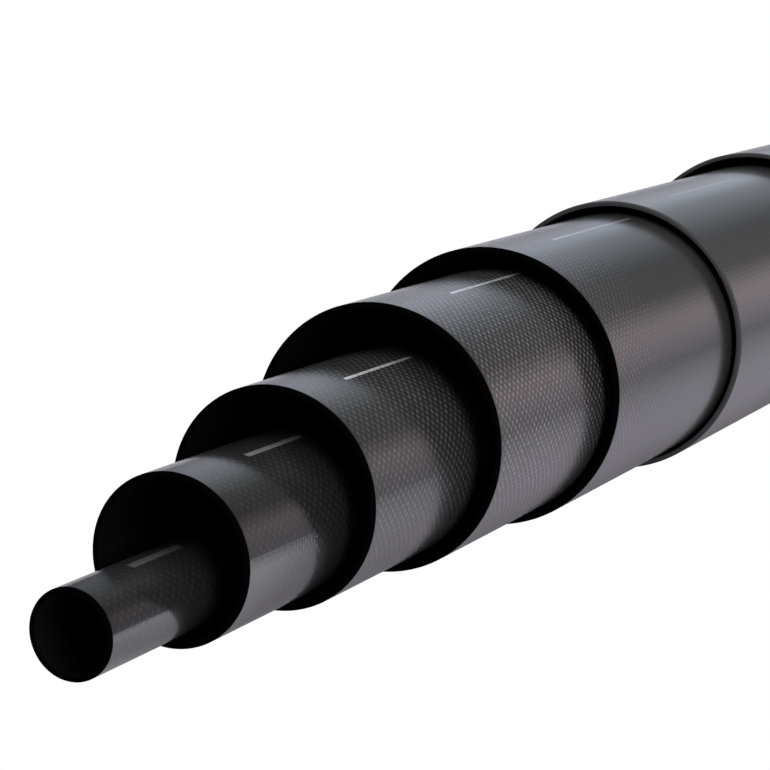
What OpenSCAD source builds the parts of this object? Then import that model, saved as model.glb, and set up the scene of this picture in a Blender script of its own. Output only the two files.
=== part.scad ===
// Coarse fishing pole: eight tapered carbon sections, put-over type, nested for carrying.
// Sections are numbered from the tip, 1, to the butt, 8. Each lies in the bore of the next one, with its mouth
// drawn out a little further, and slides along X. In use the thin male end of one section goes into the mouth of
// the section before it.
// X runs along the pole with every mouth facing -X, Z is up, and the pole stands on Z = 0, with the origin under
// the middle of its length.

/* [Lengths] */
// Length of sections 2 to 8
section_len = 1480; // [1470:5:1560]
// How much shorter than those the tip section is
tip_shorter = 280; // [260:5:380]

/* [Tip section] */
// Diameter of the tip section at its mouth
tip_mouth_d = 6.6; // [6.2:0.1:7]
// Diameter of the tip section at its thin end
tip_end_d = 2.4; // [2.2:0.1:2.6]
// Wall of the tip section
tip_wall = 0.5; // [0.4:0.05:0.6]

/* [Walls] */
// Wall of section 2
kit_wall = 0.55; // [0.5:0.05:0.7]
// Wall of sections 3 and 4
mid_wall = 0.6; // [0.5:0.05:0.8]
// Wall of sections 5 to 8
butt_wall = 0.75; // [0.6:0.05:1]
// How much thicker the wall is at a mouth
mouth_extra = 0.2; // [0.15:0.05:0.3]

/* [Room in each bore] */
// How much wider the bore of section 2 is than the mouth of the tip section
room_2 = 2.9; // [2.5:0.1:3.5]
// How much wider the bore of section 3 is than the mouth of section 2
room_3 = 8.9; // [8:0.1:10]
// How much wider the bore of section 4 is than the mouth of section 3
room_4 = 6; // [5:0.1:7]
// How much wider the bore of section 5 is than the mouth of section 4
room_5 = 6.1; // [5:0.1:7]
// How much wider the bore of section 6 is than the mouth of section 5
room_6 = 2.6; // [2:0.1:4]
// How much wider the bore of section 7 is than the mouth of section 6
room_7 = 1.1; // [1:0.1:2]
// How much wider the bore of the butt section is than the mouth of section 7
room_8 = 1.5; // [1:0.1:3]

/* [Drawn out] */
// How far section 2 stands out of section 3
out_2 = 20; // [5:1:60]
// How far section 3 stands out of section 4
out_3 = 24; // [5:1:60]
// How far section 4 stands out of section 5
out_4 = 28; // [5:1:60]
// How far section 5 stands out of section 6
out_5 = 37; // [5:1:60]
// How far section 6 stands out of section 7
out_6 = 51; // [5:1:80]
// How far section 7 stands out of the butt section
out_7 = 72; // [5:1:90]
// How deep the tip section lies in the mouth of section 2
tip_depth = 240; // [230:1:250]
// Gap under a section that lies in the bore of the next one
rest_gap = 0.2; // [0.15:0.05:0.25]

/* [Put-over joints] */
// Length of the joint between sections 1 and 2
tip_joint = 40; // [30:1:60]
// Length of the joint between sections 2 and 3
kit_joint = 55; // [40:1:80]
// Length of every other joint
main_joint = 80; // [60:1:90]
// How much thinner a male end is than the socket it fits
joint_fit = 0.1; // [0.05:0.05:0.2]
// Shoulder left above the ground surface of a male end
ground_step = 0.2; // [0.2:0.05:0.3]
// Length of the lead-in cone on a male end
lead_in_len = 2; // [1:0.5:4]
// Depth of the lead-in cone on a male end
lead_in_drop = 0.25; // [0.1:0.05:0.3]
// Radius of the rounded outer edge of a mouth
mouth_round = 0.25; // [0.1:0.05:0.3]
// Chamfer on the inner edge of a mouth
mouth_chamfer = 0.2; // [0.1:0.05:0.2]

/* [Tip bush] */
// Length of the bush's sleeve over the tip
bush_sleeve = 9; // [6:0.5:14]
// Length of the bush's nose beyond the tip
bush_nose = 3; // [2:0.5:5]
// Wall of the bush's sleeve
bush_wall = 0.45; // [0.35:0.05:0.5]
// Clearance between the sleeve and the tip
bush_fit = 0.04; // [0.02:0.01:0.08]
// Diameter of the bush's bore, which the elastic runs through
bush_bore = 1.2; // [1:0.1:1.4]
// Radius of the rounded edge of the bush's nose
nose_round = 0.7; // [0.3:0.05:0.8]

/* [Hidden] */
$fn = 96;
ROOM = [room_2, room_3, room_4, room_5, room_6, room_7, room_8];
OUT = [out_2, out_3, out_4, out_5, out_6, out_7];
TIP = 1;
BUTT = TIP + len(ROOM);
tip_len = section_len - tip_shorter;
lacquer = "#26282b";
bush_white = "#e9e9e4";
ARC_STEPS = 4;

// Wall and room by section number
function wall(n) = n == TIP ? tip_wall : n == 2 ? kit_wall : n <= 4 ? mid_wall : butt_wall;
function room(n) = ROOM[n - 2];

// The joint between section n and the next one. The sockets of sections 1 and 2 are parallel, and in the others
// the whole bore is one taper, which the male end that goes in there has as well
function joint_len(n) = n == TIP ? tip_joint : n == 2 ? kit_joint : main_joint;
function full_len(n) = n == TIP ? tip_len : section_len;
function shoulder_at(n) = section_len - joint_len(n - 1);
function joint_taper(n) = n <= 2 ? 0 : (socket_d(n) / 2 - end_bore_r(n)) / section_len;

// Each socket is as wide as the mouth of the section inside it and the room around that, and each male end fits
// the socket of the section before
function socket_d(n) = n == TIP ? tip_mouth_d - 2 * tip_wall : mouth_d(n - 1) + room(n);
function male_r(n) = (socket_d(n - 1) - joint_fit) / 2;
function shoulder_r(n) = male_r(n) + ground_step;
function male_end_r(n) = male_r(n) - joint_taper(n - 1) * joint_len(n - 1);
function end_bore_r(n) = n == TIP ? tip_end_d / 2 - tip_wall : male_end_r(n) - wall(n);

function mouth_wall(n) = n == TIP ? tip_wall : wall(n) + mouth_extra;
function mouth_d(n) = n == TIP ? tip_mouth_d : socket_d(n) + 2 * mouth_wall(n);

// How far the body's outside draws in, for each millimetre of length, and the angle that lays its lowest line level
bush_d = tip_end_d + 2 * (bush_fit + bush_wall);
function taper(n) = n == TIP
    ? (tip_mouth_d - bush_d) / 2 / tip_len
    : (mouth_d(n) / 2 - shoulder_r(n)) / shoulder_at(n);
function lay_angle(n) = atan(taper(n));

// Place of each mouth: along X from the mouth of section 2, and the height of each section's lowest line
function out_of_next(n) = OUT[n - 2];
function from_first(n) = n == TIP ? tip_depth : n == 2 ? 0 : from_first(n - 1) + out_of_next(n - 1);
function lowest(n) = n == BUTT ? 0 : lowest(n + 1) + mouth_wall(n + 1) + rest_gap;
pole_len = from_first(BUTT) + section_len * cos(lay_angle(BUTT));
function mouth_x(n) = from_first(n) - pole_len / 2;

// Points of the rounded outer edge of a mouth of this radius, from its face to its side
function round_edge(r) = [for (i = [0:ARC_STEPS])
    let (a = 90 * i / ARC_STEPS)
    [r - mouth_round * (1 - sin(a)), mouth_round * (1 - cos(a))]];

// Puts a section that was drawn along Z from its mouth at the origin into its place in the nest
module lay(n)
    translate([mouth_x(n), 0, lowest(n) + mouth_d(n) / 2 * cos(lay_angle(n))])
        rotate([0, 90 + lay_angle(n), 0])
            children();

// Inner outline of a section, from the thin end to the chamfered mouth
function bore_line(n) = concat(
    [[end_bore_r(n), full_len(n)]],
    n <= 2 ? [[socket_d(n) / 2, joint_len(n)]] : [],
    [[socket_d(n) / 2, mouth_chamfer], [socket_d(n) / 2 + mouth_chamfer, 0]]);

// The tip section tapers evenly and ends in the cut that carries the bush
module tip_section()
    color(lacquer)
        lay(TIP)
            rotate_extrude()
                polygon(concat(
                    round_edge(tip_mouth_d / 2),
                    [[tip_end_d / 2, tip_len - bush_sleeve], [tip_end_d / 2, tip_len]],
                    bore_line(TIP)));

// Slippery bush over the tip: a sleeve on the outside, and a rounded nose with the bore that the elastic runs through
module tip_bush() {
    nose_end = tip_len + bush_nose;
    seat_r = tip_end_d / 2 + bush_fit;
    color(bush_white)
        lay(TIP)
            rotate_extrude()
                polygon(concat(
                    [[seat_r, tip_len - bush_sleeve], [bush_d / 2, tip_len - bush_sleeve]],
                    [for (i = [0:ARC_STEPS])
                        let (a = 90 * i / ARC_STEPS)
                        [bush_d / 2 - nose_round * (1 - cos(a)), nose_end - nose_round * (1 - sin(a))]],
                    [[bush_bore / 2, nose_end], [bush_bore / 2, tip_len + bush_fit], [seat_r, tip_len + bush_fit]]));
}

// Any other section: a tapered tube with a socket in its mouth, and a ground male end behind a shoulder
module section(n)
    color(lacquer)
        lay(n)
            rotate_extrude()
                polygon(concat(
                    round_edge(mouth_d(n) / 2),
                    [
                        [shoulder_r(n), shoulder_at(n)],
                        [male_r(n), shoulder_at(n)],
                        [male_end_r(n), section_len - lead_in_len],
                        [male_end_r(n) - lead_in_drop, section_len]],
                    bore_line(n)));

tip_section();
tip_bush();
section(2);  // section_2
section(3);  // section_3
section(4);  // section_4
section(5);  // section_5
section(6);  // section_6
section(7);  // section_7
section(BUTT);  // butt_section
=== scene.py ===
# Looks of the nested coarse fishing pole: fine tubes of woven, lacquered carbon on the CAD sections, the
# white tip bush, the white sweep they lie on, and the light. Sections are numbered from the tip, 1, to the
# butt, 8.
import math

import bpy
from mathutils import Matrix, Vector


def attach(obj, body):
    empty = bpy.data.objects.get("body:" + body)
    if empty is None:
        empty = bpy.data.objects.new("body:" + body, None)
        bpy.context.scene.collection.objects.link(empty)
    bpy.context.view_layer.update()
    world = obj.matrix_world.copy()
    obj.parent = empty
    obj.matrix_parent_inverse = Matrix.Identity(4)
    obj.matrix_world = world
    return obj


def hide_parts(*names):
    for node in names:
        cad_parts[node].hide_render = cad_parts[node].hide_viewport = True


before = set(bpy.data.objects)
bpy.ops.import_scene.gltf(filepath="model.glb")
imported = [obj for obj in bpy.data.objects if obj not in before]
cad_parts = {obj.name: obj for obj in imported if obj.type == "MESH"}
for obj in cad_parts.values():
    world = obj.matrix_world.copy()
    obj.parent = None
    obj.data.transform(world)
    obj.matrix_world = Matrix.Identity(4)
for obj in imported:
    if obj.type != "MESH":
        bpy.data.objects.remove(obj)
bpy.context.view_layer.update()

MM = 0.001
TIP, BUTT = 1, 8

# Sizes of the solids, in mm: length, walls by section, and how much thicker a wall is at the mouth
LENGTH = 1480
TIP_MOUTH_D, TIP_WALL = 6.6, 0.5
WALL = {2: 0.55, 3: 0.6, 4: 0.6, 5: 0.75, 6: 0.75, 7: 0.75, 8: 0.75}
MOUTH_EXTRA = 0.2
# How much wider each bore is than the mouth of the section that lies in it
ROOM = {2: 2.9, 3: 8.9, 4: 6.0, 5: 6.1, 6: 2.6, 7: 1.1, 8: 1.5}
# How far each section stands out of the next one, and the gap under it there
OUT = {2: 20, 3: 24, 4: 28, 5: 37, 6: 51, 7: 72}
REST_GAP = 0.2
# The joint between each section and the next one: its length, and how much thinner the male end is
JOINT = {1: 40, 2: 55, 3: 80, 4: 80, 5: 80, 6: 80, 7: 80}
JOINT_FIT = 0.1
# A male end: the shoulder above it, and its lead-in cone
GROUND_STEP = 0.2
LEAD_LEN, LEAD_DROP = 2, 0.25
# A mouth: chamfer on its inner edge, and radius of its outer edge, which is rounder than in the solids
CHAMFER = 0.2
ROUND = 0.45

# Points round a fine tube, steps of a rounded edge, and the angle from which an edge looks sharp
AROUND = 240
ROUND_STEPS = 6
SHARP = math.radians(35)
# Widths of the narrow strips that keep an edge's shading off the long ones: beside the edges of the male
# end, in the bore behind the mouth and at the thin end, and on the body before the shoulder
STRIP, BORE_STRIP, THIN_END_STRIP, SHOULDER_STRIP = 0.4, 0.6, 1, 4

# Width of a yarn, in mm
WEAVE = 0.72
# How clearly the weave shows through the lacquer of each section, just behind the lip of its mouth and from
# FAR on. From DEEP on it shows by WOVEN on all of them.
RELIEF = {
    2: (0.08, 0.08),
    3: (0.12, 0.12),
    4: (0.45, 0.6),
    5: (1.0, 1.0),
    6: (0.6, 0.16),
    7: (0.22, 0.1),
    8: (0.1, 0.1),
}
LIP, FAR, DEEP = 1, 25, 200
WOVEN = 0.6
# Places of a body's other rings of points behind its mouth
BODY_RINGS = (0.6, 1.5, 4, FAR, 80, DEEP, 500, 800, 1100)
# How light the ground between the yarns is on each section. The larger sections are lighter, partly as
# painted light that fills the dark reflection of the next mouth in their lacquer
GROUND_AND_PAINTED_LIGHT = {2: 0.02, 3: 0.018, 4: 0.03, 5: 0.032, 6: 0.042, 7: 0.05, 8: 0.05}
# Pale alignment mark on each section: angle round the tube in degrees, where it starts and ends behind the
# mouth and its width in mm, and how strong its paint is
MARKS = {
    2: (84.7, 11.6, 23.0, 1.2, 0.2),
    3: (90.0, 14.2, 28.5, 0.9, 0.4),
    4: (93.3, 11.8, 31.5, 0.6, 1.0),
    5: (87.9, 15.8, 41.0, 0.6, 1.0),
    6: (86.0, 15.8, 49.0, 0.6, 0.6),
    7: (86.0, 16.0, 50.0, 0.6, 0.3),
    8: (86.0, 16.0, 54.0, 0.6, 0.3),
}


# Sizes and places that follow from these for section n, as in the solids


def bore_d(n):
    """Diameter of the bore at its mouth."""
    if n == TIP:
        return TIP_MOUTH_D - 2 * TIP_WALL
    return mouth_d(n - 1) + ROOM[n]


def mouth_d(n):
    """Outer diameter of the mouth."""
    if n == TIP:
        return TIP_MOUTH_D
    return bore_d(n) + 2 * (WALL[n] + MOUTH_EXTRA)


def male_r(n):
    """Radius of the male end at its shoulder, which fits the bore of the section before."""
    return (bore_d(n - 1) - JOINT_FIT) / 2


def male_end_r(n):
    """Radius of the male end at its lead-in cone. It has the taper of the bore that it fits."""
    return male_r(n) - bore_taper(n - 1) * JOINT[n - 1]


def thin_bore_r(n):
    """Radius of the bore at the thin end."""
    return male_end_r(n) - WALL[n]


def has_parallel_socket(n):
    """The sockets of sections 1 and 2 are parallel. In the others the whole bore is one taper."""
    return n <= 2


def bore_taper(n):
    """How far the radius of the socket draws in for each millimetre."""
    if has_parallel_socket(n):
        return 0
    return (bore_d(n) / 2 - thin_bore_r(n)) / LENGTH


def shoulder_at(n):
    """Distance of the shoulder behind the mouth."""
    return LENGTH - JOINT[n - 1]


def body_taper(n):
    """How far the radius of the body draws in for each millimetre."""
    return (mouth_d(n) / 2 - male_r(n) - GROUND_STEP) / shoulder_at(n)


def tilt(n):
    """The angle that lays the section's lowest line level."""
    return math.atan(body_taper(n))


def lowest(n):
    """Height of the section's lowest line."""
    if n == BUTT:
        return 0
    return lowest(n + 1) + WALL[n + 1] + MOUTH_EXTRA + REST_GAP


def mouth_place(n):
    """Middle of the mouth. The origin is under the middle of the nest's length."""
    nest_length = sum(OUT.values()) + LENGTH * math.cos(tilt(BUTT))
    behind_first = sum(OUT[k] for k in range(2, n))
    height = lowest(n) + mouth_d(n) / 2 * math.cos(tilt(n))
    return Vector((behind_first - nest_length / 2, 0, height))


def weave_depth(n, s):
    """How clearly the weave shows at s mm behind the mouth."""
    near, far = RELIEF[n]
    if s < LIP:
        return 0
    if s < FAR:
        return near
    return far if s < DEEP else WOVEN


# Nodes of a material, where t is its node tree

# Inputs and output of a Mix node by its data type
MIX_SOCKETS = {"FLOAT": (2, 3, 0), "RGBA": (6, 7, 2)}


def node(t, kind, inputs=None, **settings):
    """Adds a node. Each of its inputs is set to a value or linked to a socket."""
    n = t.nodes.new(kind)
    for name, value in settings.items():
        setattr(n, name, value)
    for key, value in (inputs or {}).items():
        if isinstance(value, bpy.types.NodeSocket):
            t.links.new(value, n.inputs[key])
        else:
            n.inputs[key].default_value = value
    return n


def maths(t, operation, a, b=0.0, c=0.0):
    return node(t, "ShaderNodeMath", {0: a, 1: b, 2: c}, operation=operation).outputs[0]


def product(t, first, *factors):
    for factor in factors:
        first = maths(t, "MULTIPLY", first, factor)
    return first


def mapped(t, value, start, end, low=0.0, high=1.0, **settings):
    """Low up to the start, high from the end on, and even between them."""
    inputs = {0: value, 1: start, 2: end, 3: low, 4: high}
    return node(t, "ShaderNodeMapRange", inputs, **settings).outputs[0]


def mixed(t, share, a, b, kind="RGBA"):
    """What lies between a and b, at this share of b."""
    first, second, result = MIX_SOCKETS[kind]
    return node(t, "ShaderNodeMix", {0: share, first: a, second: b}, data_type=kind).outputs[result]


def noise(t, place, scale, detail):
    return node(t, "ShaderNodeTexNoise", {"Vector": place, "Scale": scale, "Detail": detail}).outputs["Fac"]


def bump(t, height, strength, distance):
    inputs = {"Strength": strength, "Distance": distance, "Height": height}
    return node(t, "ShaderNodeBump", inputs).outputs[0]


def attribute(t, name):
    return node(t, "ShaderNodeAttribute", attribute_name=name).outputs["Fac"]


def uv_map(t, name):
    return node(t, "ShaderNodeUVMap", uv_map=name).outputs[0]


def object_place(t):
    return node(t, "ShaderNodeTexCoord").outputs["Object"]


def split(t, vector):
    return node(t, "ShaderNodeSeparateXYZ", {0: vector}).outputs


def emission(t, colour, strength):
    return node(t, "ShaderNodeEmission", {"Color": colour, "Strength": strength}).outputs[0]


def for_camera(t, seen, unseen):
    """One shader for what the camera sees, and another for light and reflections."""
    camera_ray = node(t, "ShaderNodeLightPath").outputs["Is Camera Ray"]
    return node(t, "ShaderNodeMixShader", {0: camera_ray, 1: unseen, 2: seen}).outputs[0]


def new_material(name):
    m = bpy.data.materials.new(name)
    m.use_nodes = True
    m.node_tree.nodes.clear()
    return m, m.node_tree


def finish_material(t, shader):
    node(t, "ShaderNodeOutputMaterial", {"Surface": shader})


# Materials of the pole

# Scale and detail of the noise in plain surfaces, in the cloth's uneven patches, in its winding round the
# tube, which is stretched, and in the speckle of yarns and paint
GRAIN, PATCHES, WOUND, SPECKLE = (900.0, 3.0), (260.0, 2.0), (1.0, 3.0), (1500.0, 2.0)
WOUND_STRETCH = (0.01, 1.6, 1.0)
GRAIN_STRENGTH, GRAIN_DEPTH = 0.15, 0.05 * MM
# How deep the weave lies, and what patches and winding add to its height, where a yarn's top is 1
CLOTH_DEPTH = 0.022 * MM
PATCHES_HEIGHT, WOUND_HEIGHT = 0.3, 0.2
# Powers that shape the top of a yarn across and along it, and the height of the weft against the warp
YARN_ACROSS, YARN_ALONG = 0.5, 0.9
WEFT_HEIGHT = 0.5
CROWN_COLOUR = (0.25, 0.24, 0.24, 1)
YARN_METALLIC = 0.6
# The range of speckle over which a crown's glint rises from its least to 1
GLINT_RISE, LEAST_GLINT = (0.35, 0.65), 0.35
# The mark: where its paint ends, as a share of its width and length from the middle, the range of speckle
# over which the paint thickens from its thinnest to 1, and how much shows at its far end, in painted shade
PAINT_COLOUR = (0.46, 0.47, 0.50, 1)
SIDE_ENDS, LENGTH_ENDS = (0.42, 0.5), (0.49, 0.5)
PAINT_RISE, THINNEST_PAINT = (0.25, 0.5), 0.6
MARK_END_PAINTED_SHADE = 0.55


def plain(name, colour, roughness, specular=0.5):
    """One colour with a fine grain."""
    m, t = new_material(name)
    grain = noise(t, object_place(t), *GRAIN)
    bsdf = node(t, "ShaderNodeBsdfPrincipled", {
        "Base Color": (*colour, 1),
        "Roughness": roughness,
        "Specular IOR Level": specular,
        "Normal": bump(t, grain, GRAIN_STRENGTH, GRAIN_DEPTH)})
    finish_material(t, bsdf.outputs[0])
    return m


def yarn_top(t, across, along):
    return product(t, maths(t, "POWER", across, YARN_ACROSS), maths(t, "POWER", along, YARN_ALONG))


def plain_weave(t, u, v):
    """Height of a plain weave in cells of one by one, with the warp on top in every second cell and the weft
    in the others, and the height of the warp's crowns alone."""
    cell = maths(t, "ADD", maths(t, "FLOOR", u), maths(t, "FLOOR", v))
    weft = maths(t, "FLOORED_MODULO", cell, 2.0)
    across = maths(t, "SINE", product(t, maths(t, "FRACT", u), math.pi))
    along = maths(t, "SINE", product(t, maths(t, "FRACT", v), math.pi))
    warp_top = yarn_top(t, across, along)
    weft_top = product(t, yarn_top(t, along, across), WEFT_HEIGHT)
    crown = product(t, warp_top, maths(t, "SUBTRACT", 1.0, weft))
    return mixed(t, weft, warp_top, weft_top, "FLOAT"), crown


def cloth_relief(t, cloth, height, depth):
    """Height of the cloth with its uneven patches and its winding, by how clearly the weave shows."""
    wound = node(t, "ShaderNodeMapping", {"Vector": cloth, "Scale": WOUND_STRETCH}).outputs[0]
    relief = maths(t, "MULTIPLY_ADD", noise(t, object_place(t), *PATCHES), PATCHES_HEIGHT, height)
    relief = maths(t, "MULTIPLY_ADD", noise(t, wound, *WOUND), WOUND_HEIGHT, relief)
    return product(t, relief, maths(t, "SQRT", depth))


def mark_paint(t, speckle):
    """How much paint the mark has: soft at its edges, speckled, and fainter away from the mouth, as painted
    shade.
    """
    across, along, _ = split(t, uv_map(t, "mark"))
    from_middle = maths(t, "ABSOLUTE", maths(t, "SUBTRACT", along, 0.5))
    sides = mapped(t, maths(t, "ABSOLUTE", across), *SIDE_ENDS, 1.0, 0.0)
    ends = mapped(t, from_middle, *LENGTH_ENDS, 1.0, 0.0)
    wear = mapped(t, speckle, *PAINT_RISE, THINNEST_PAINT, 1.0)
    # Painted shade: the mark grows fainter towards its far end, by the next mouth
    fade = mapped(t, along, 0.0, 1.0, 1.0, MARK_END_PAINTED_SHADE)
    return product(t, sides, ends, wear, attribute(t, "paint"), fade)


def carbon():
    """Woven carbon under clear lacquer: bright crowns of the warp on a darker ground, lighter on the larger
    sections as painted light, and the pale mark.
    """
    m, t = new_material("lacquered_carbon")
    cloth = uv_map(t, "weave")
    u, v, _ = split(t, cloth)
    height, crown = plain_weave(t, u, v)
    depth = attribute(t, "relief")
    relief = bump(t, cloth_relief(t, cloth, height, depth), 1.0, CLOTH_DEPTH)

    speckle = noise(t, object_place(t), *SPECKLE)
    paint = mark_paint(t, speckle)
    glint = product(t, crown, mapped(t, speckle, *GLINT_RISE, LEAST_GLINT, 1.0), depth)
    # The ground's lightness by section, which is partly painted light
    yarn = mixed(t, glint, attribute(t, "ground_and_painted_light"), CROWN_COLOUR)
    bsdf = node(t, "ShaderNodeBsdfPrincipled", {
        "Base Color": mixed(t, paint, yarn, PAINT_COLOUR),
        "Metallic": maths(t, "MULTIPLY_ADD", paint, -YARN_METALLIC, YARN_METALLIC),
        "Roughness": 0.36,
        "Normal": relief,
        "Coat Weight": 1.0,
        "Coat Roughness": 0.1,
        "Coat IOR": 1.5,
        "Coat Normal": relief})
    finish_material(t, bsdf.outputs[0])
    return m


CARBON = carbon()
GROUND = plain("ground_carbon", (0.020, 0.020, 0.021), 0.45)
BORE = plain("bore", (0.0018, 0.0018, 0.0019), 0.55, 0.1)
CUT = plain("cut_edge", (0.0010, 0.0010, 0.0011), 0.7, 0.0)
# A cut face lightened by painted light, which narrows the dark band of shade round a mouth
PAINTED_LIGHT_CUT = plain("cut_edge_painted_light", (0.038, 0.038, 0.041), 0.7, 0.1)
WHITE = plain("bush_white", (0.80, 0.80, 0.77), 0.38)
# The rims that aren't CUT: the cut faces of the two largest mouths are lighter, with painted light
RIM = {7: PAINTED_LIGHT_CUT, 8: PAINTED_LIGHT_CUT}


# The fine tubes


def mark_sharp_edges(mesh):
    normals = {}
    for face in mesh.polygons:
        for key in face.edge_keys:
            normals.setdefault(key, []).append(face.normal.copy())
    for edge in mesh.edges:
        one, other = normals[edge.key]
        edge.use_edge_sharp = one.angle(other, 0) > SHARP


def revolved(name, mouth, angle, outline):
    """Mesh of a tube turned about its axis from a closed outline of (radius, distance behind the mouth,
    material) in mm. The material is that of the strip from this point to the next one."""
    along = Vector((math.cos(angle), 0, -math.sin(angle)))
    sideways = Vector((0, 1, 0))
    up = Vector((math.sin(angle), 0, math.cos(angle)))
    materials = list(dict.fromkeys(material for _, _, material in outline))
    verts, faces, slots = [], [], []
    for r, s, _ in outline:
        for j in range(AROUND):
            a = 2 * math.pi * j / AROUND
            verts.append((mouth + along * s + (sideways * math.cos(a) + up * math.sin(a)) * r) * MM)
    for i, (_, _, material) in enumerate(outline):
        ring = i * AROUND
        next_ring = (i + 1) % len(outline) * AROUND
        for j in range(AROUND):
            k = (j + 1) % AROUND
            faces.append((ring + j, ring + k, next_ring + k, next_ring + j))
            slots.append(materials.index(material))
    mesh = bpy.data.meshes.new(name)
    mesh.from_pydata(verts, [], faces)
    for material in materials:
        mesh.materials.append(material)
    mesh.polygons.foreach_set("material_index", slots)
    mesh.shade_smooth()
    mark_sharp_edges(mesh)
    return mesh


def add_map(mesh, name, outline, spot):
    """Adds a UV map, in which each face corner lies at spot(radius, distance behind the mouth, degrees)."""
    places = []
    for i in range(len(outline)):
        for j in range(AROUND):
            for ring, step in ((i, j), (i, j + 1), (i + 1, j + 1), (i + 1, j)):
                r, s, _ = outline[ring % len(outline)]
                places += spot(r, s, 360 * step / AROUND)
    mesh.uv_layers.new(name=name).data.foreach_set("uv", places)


def add_value(mesh, name, by_ring):
    """Gives every point of each ring its value."""
    values = [value for value in by_ring for _ in range(AROUND)]
    mesh.attributes.new(name, "FLOAT", "POINT").data.foreach_set("value", values)


def add_cloth(mesh, n, outline):
    """Lays the weave and the mark on the mesh. An even number of yarns closes the weave round the tube."""
    yarns = 2 * round(math.pi * mouth_d(n) / 2 / WEAVE)
    angle, start, end, width, strength = MARKS[n]

    def on_cloth(_, s, degrees):
        return yarns * degrees / 360, s / WEAVE

    def on_mark(r, s, degrees):
        return math.radians(degrees - angle) * r / width, (s - start) / (end - start)

    add_map(mesh, "weave", outline, on_cloth)
    add_map(mesh, "mark", outline, on_mark)
    add_value(mesh, "paint", [strength] * len(outline))
    add_value(mesh, "relief", [weave_depth(n, s) for _, s, _ in outline])
    # The ground's lightness by section, partly painted light on the larger sections
    add_value(mesh, "ground_and_painted_light", [GROUND_AND_PAINTED_LIGHT[n]] * len(outline))


def rounded_lip(n):
    """Points of the rounded outer edge of a mouth, from its face to its side, where the lacquer starts."""
    points = []
    for i in range(ROUND_STEPS + 1):
        a = math.radians(90 * i / ROUND_STEPS)
        material = CARBON if i == ROUND_STEPS else RIM.get(n, CUT)
        points.append((mouth_d(n) / 2 - ROUND * (1 - math.sin(a)), ROUND * (1 - math.cos(a)), material))
    return points


def section_outline(n):
    """Outline of a section, from the face of its mouth over the outside to the thin end and back inside."""
    bore_r = bore_d(n) / 2
    shoulder = shoulder_at(n)
    body = (*BODY_RINGS, shoulder - SHOULDER_STRIP, shoulder - STRIP)
    return [
        (bore_r + CHAMFER, 0, RIM.get(n, CUT)),
        *rounded_lip(n),
        *((mouth_d(n) / 2 - body_taper(n) * s, s, CARBON) for s in body),
        (male_r(n) + GROUND_STEP, shoulder, GROUND),
        (male_r(n), shoulder, GROUND),
        (male_r(n), shoulder + STRIP, GROUND),
        (male_end_r(n), LENGTH - LEAD_LEN - STRIP, GROUND),
        (male_end_r(n), LENGTH - LEAD_LEN, GROUND),
        (male_end_r(n) - LEAD_DROP, LENGTH, CUT),
        (thin_bore_r(n), LENGTH, BORE),
        (thin_bore_r(n), LENGTH - THIN_END_STRIP, BORE),
        *([(bore_r, JOINT[n], BORE)] if has_parallel_socket(n) else []),
        (bore_r, CHAMFER + BORE_STRIP, BORE),
        (bore_r, CHAMFER, CUT),
    ]


def put(name, data):
    o = bpy.data.objects.new(name, data)
    bpy.context.scene.collection.objects.link(o)
    return o


def build_section(n):
    """Puts the fine tube of a section in the place of its solid."""
    name, body = ("butt_section", "butt") if n == BUTT else (f"section_{n}", f"section_{n}")
    outline = section_outline(n)
    mesh = revolved(name + "_fine", mouth_place(n), tilt(n), outline)
    add_cloth(mesh, n, outline)
    o = put(name + "_fine", mesh)
    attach(o, body)
    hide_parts(name)


def dress(name, material):
    """Gives a solid of the frame this material."""
    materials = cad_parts[name].data.materials
    materials.clear()
    materials.append(material)


for n in range(TIP + 1, BUTT + 1):
    build_section(n)
dress("tip_section", GROUND)
dress("tip_bush", WHITE)


# The sweep and the set, in metres

SWEEP_HALF = 6
# The paper turns from dark to light across this range of Y
PAPER_TURN = (-0.16, -0.05)
PAPER_DARK, PAPER_LIGHT = (0.19, 0.188, 0.21, 1), (0.312, 0.308, 0.345, 1)
# The paper glows before a line that runs aslant in front of the mouths: the direction square to the line,
# the range of distance that way over which the glow ends, and its strengths before and behind the line
GLOW_SQUARE_X, GLOW_SQUARE_Y = 0.508, 0.861
GLOW_END = (-0.429, -0.421)
GLOW_BEFORE, GLOW_BEHIND = 0.86, 0.06
GLOW_COLOUR = (0.94, 0.925, 1.0, 1)
# The pole's painted shadow brings the glow down to this share in a strip under it, which ends over this range
# of distance
PAINTED_POLE_SHADOW, SHADE_END = 0.15, (0.01, 0.06)

SET_X, SET_HALF_WIDTH, SET_HEIGHT = 3, 4, 4
# Light of the set by direction, from +Y over the top to -Y, in degrees: a cool softbox on one side and a warm
# one on the other, dark over the top and dim near the floor
LOW, COOL, DARK, WARM = (0.3, 0.3, 0.33), (0.6, 0.65, 0.75), (0.12, 0.12, 0.125), (0.6, 0.52, 0.55)
SET_LIGHT = {0: LOW, 30: COOL, 55: COOL, 90: DARK, 122: DARK, 145: WARM, 152: WARM, 180: LOW}
# The set fades to this share over this range of distance from the X axis
SET_FADED, SET_FADE = 0.25, (2.3, 2.8)
# Nearer to the axis it is dimmed by this share, which ends over a range of distance too, and it is so only
# from the first range of directions to the second
DIMMED, DIM_OUT = 0.5, (1.6, 2.1)
DIM_STARTS = (math.radians(32), math.radians(45))
DIM_ENDS = (math.radians(80), math.radians(110))


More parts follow.
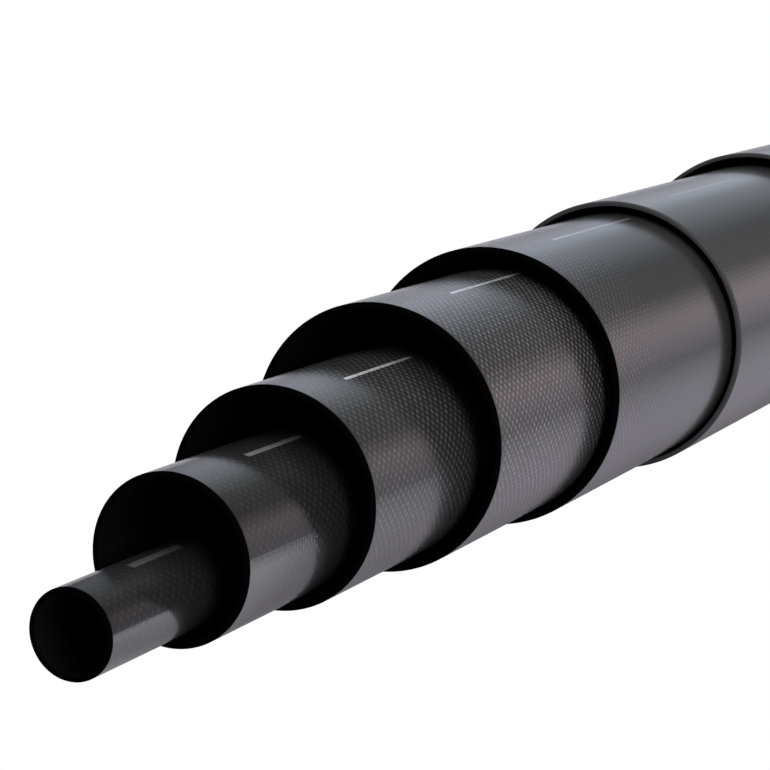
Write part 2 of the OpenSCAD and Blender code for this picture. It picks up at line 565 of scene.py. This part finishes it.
def sweep_material():
    """White as the camera sees it, and glowing grey paper for light and reflections."""
    m, t = new_material("sweep")
    x, y, _ = split(t, object_place(t))
    grey = mixed(t, mapped(t, y, *PAPER_TURN), PAPER_DARK, PAPER_LIGHT)
    square = maths(t, "MULTIPLY_ADD", x, GLOW_SQUARE_X, product(t, y, GLOW_SQUARE_Y))
    front = mapped(t, square, *GLOW_END, GLOW_BEFORE, GLOW_BEHIND)
    # Painted shadow of the pole on the paper's glow
    beside = mapped(t, maths(t, "ABSOLUTE", y), *SHADE_END, PAINTED_POLE_SHADOW, 1.0)
    glow = emission(t, GLOW_COLOUR, product(t, front, beside))
    shaded = node(t, "ShaderNodeBsdfDiffuse", {"Color": grey}).outputs[0]
    paper = node(t, "ShaderNodeAddShader", {0: shaded, 1: glow}).outputs[0]
    finish_material(t, for_camera(t, emission(t, (1, 1, 1, 1), 1.0), paper))
    return m


def set_material():
    """The set beyond the pole, which the lacquer mirrors."""
    m, t = new_material("set")
    _, y, z = split(t, object_place(t))
    angle = maths(t, "ARCTAN2", z, y)
    light = node(t, "ShaderNodeValToRGB", {"Fac": maths(t, "DIVIDE", angle, math.pi)})
    stops = light.color_ramp.elements
    while len(stops) < len(SET_LIGHT):
        stops.new(1.0)
    for stop, (degrees, colour) in zip(stops, SET_LIGHT.items()):
        stop.position = degrees / 180
        stop.color = (*colour, 1)
    distance = maths(t, "SQRT", maths(t, "ADD", maths(t, "POWER", y, 2.0), maths(t, "POWER", z, 2.0)))
    fade = mapped(t, distance, *SET_FADE, 1.0, SET_FADED, interpolation_type="SMOOTHSTEP")
    middle = mapped(t, distance, *DIM_OUT, DIMMED, 0.0)
    dim = product(t, middle, mapped(t, angle, *DIM_STARTS), mapped(t, angle, *DIM_ENDS, 1.0, 0.0))
    strength = product(t, fade, maths(t, "SUBTRACT", 1.0, dim))
    finish_material(t, emission(t, light.outputs[0], strength))
    return m


def plane(name, corners, material):
    mesh = bpy.data.meshes.new(name)
    mesh.from_pydata(corners, [], [(0, 1, 2, 3)])
    mesh.materials.append(material)
    o = put(name, mesh)
    return o


plane("sweep", [
    (-SWEEP_HALF, -SWEEP_HALF, 0), (SWEEP_HALF, -SWEEP_HALF, 0),
    (SWEEP_HALF, SWEEP_HALF, 0), (-SWEEP_HALF, SWEEP_HALF, 0)], sweep_material())
card = plane("set", [
    (SET_X, -SET_HALF_WIDTH, 0), (SET_X, SET_HALF_WIDTH, 0),
    (SET_X, SET_HALF_WIDTH, SET_HEIGHT), (SET_X, -SET_HALF_WIDTH, SET_HEIGHT)], set_material())
card.visible_camera = False
card.visible_diffuse = False
card.visible_shadow = False


# The light


def light_world():
    """White as the camera sees it, and a dim room for light and reflections."""
    world = bpy.data.worlds.new("studio")
    bpy.context.scene.world = world
    world.use_nodes = True
    t = world.node_tree
    t.nodes.clear()
    seen = node(t, "ShaderNodeBackground", {"Color": (1, 1, 1, 1), "Strength": 1.0}).outputs[0]
    room = node(t, "ShaderNodeBackground", {"Color": (0.95, 0.97, 1.0, 1), "Strength": 0.14}).outputs[0]
    node(t, "ShaderNodeOutputWorld", {"Surface": for_camera(t, seen, room)})


def softbox(name, place, target, size, power, colour=(1, 1, 1)):
    data = bpy.data.lights.new(name, "AREA")
    data.shape = "RECTANGLE"
    data.size, data.size_y = size
    data.energy = power
    data.color = colour
    o = put(name, data)
    o.location = place
    o.rotation_euler = (Vector(target) - Vector(place)).to_track_quat("-Z", "Y").to_euler()


light_world()
softbox("top", place=(-0.4, 0.1, 1.8), target=(-0.5, 0, 0), size=(2.4, 1.6), power=36)
softbox("key", place=(-1.5, -1.2, 0.9), target=(-0.75, 0, 0.02), size=(0.8, 0.8), power=26,
        colour=(1.0, 0.97, 0.95))
softbox("left", place=(-0.6, 1.9, 0.9), target=(-0.6, 0, 0), size=(2.0, 0.7), power=10,
        colour=(0.92, 0.96, 1.0))


# The camera, as a fit of the seven mouths in the photo gave it: place in metres, axes and lens in mm

CAMERA_PLACE = (-1.08875, -0.12852, 0.12582)
CAMERA_RIGHT = Vector((0.43858355, -0.87034078, 0.22394508))
CAMERA_UP = Vector((0.15923383, 0.32050642, 0.93376669))
CAMERA_FORWARD = Vector((0.88447106, 0.37387507, -0.27915654))
CAMERA_LENS, SENSOR_WIDTH = 119.79, 36


def place_camera():
    data = bpy.data.cameras.new("camera")
    data.sensor_width = SENSOR_WIDTH
    data.lens = CAMERA_LENS
    data.clip_start = 0.01
    camera = put("camera", data)
    turn = Matrix((CAMERA_RIGHT, CAMERA_UP, -CAMERA_FORWARD)).transposed().to_4x4()
    camera.matrix_world = Matrix.Translation(CAMERA_PLACE) @ turn
    bpy.context.scene.camera = camera


place_camera()
bpy.context.scene.view_settings.view_transform = "Standard"
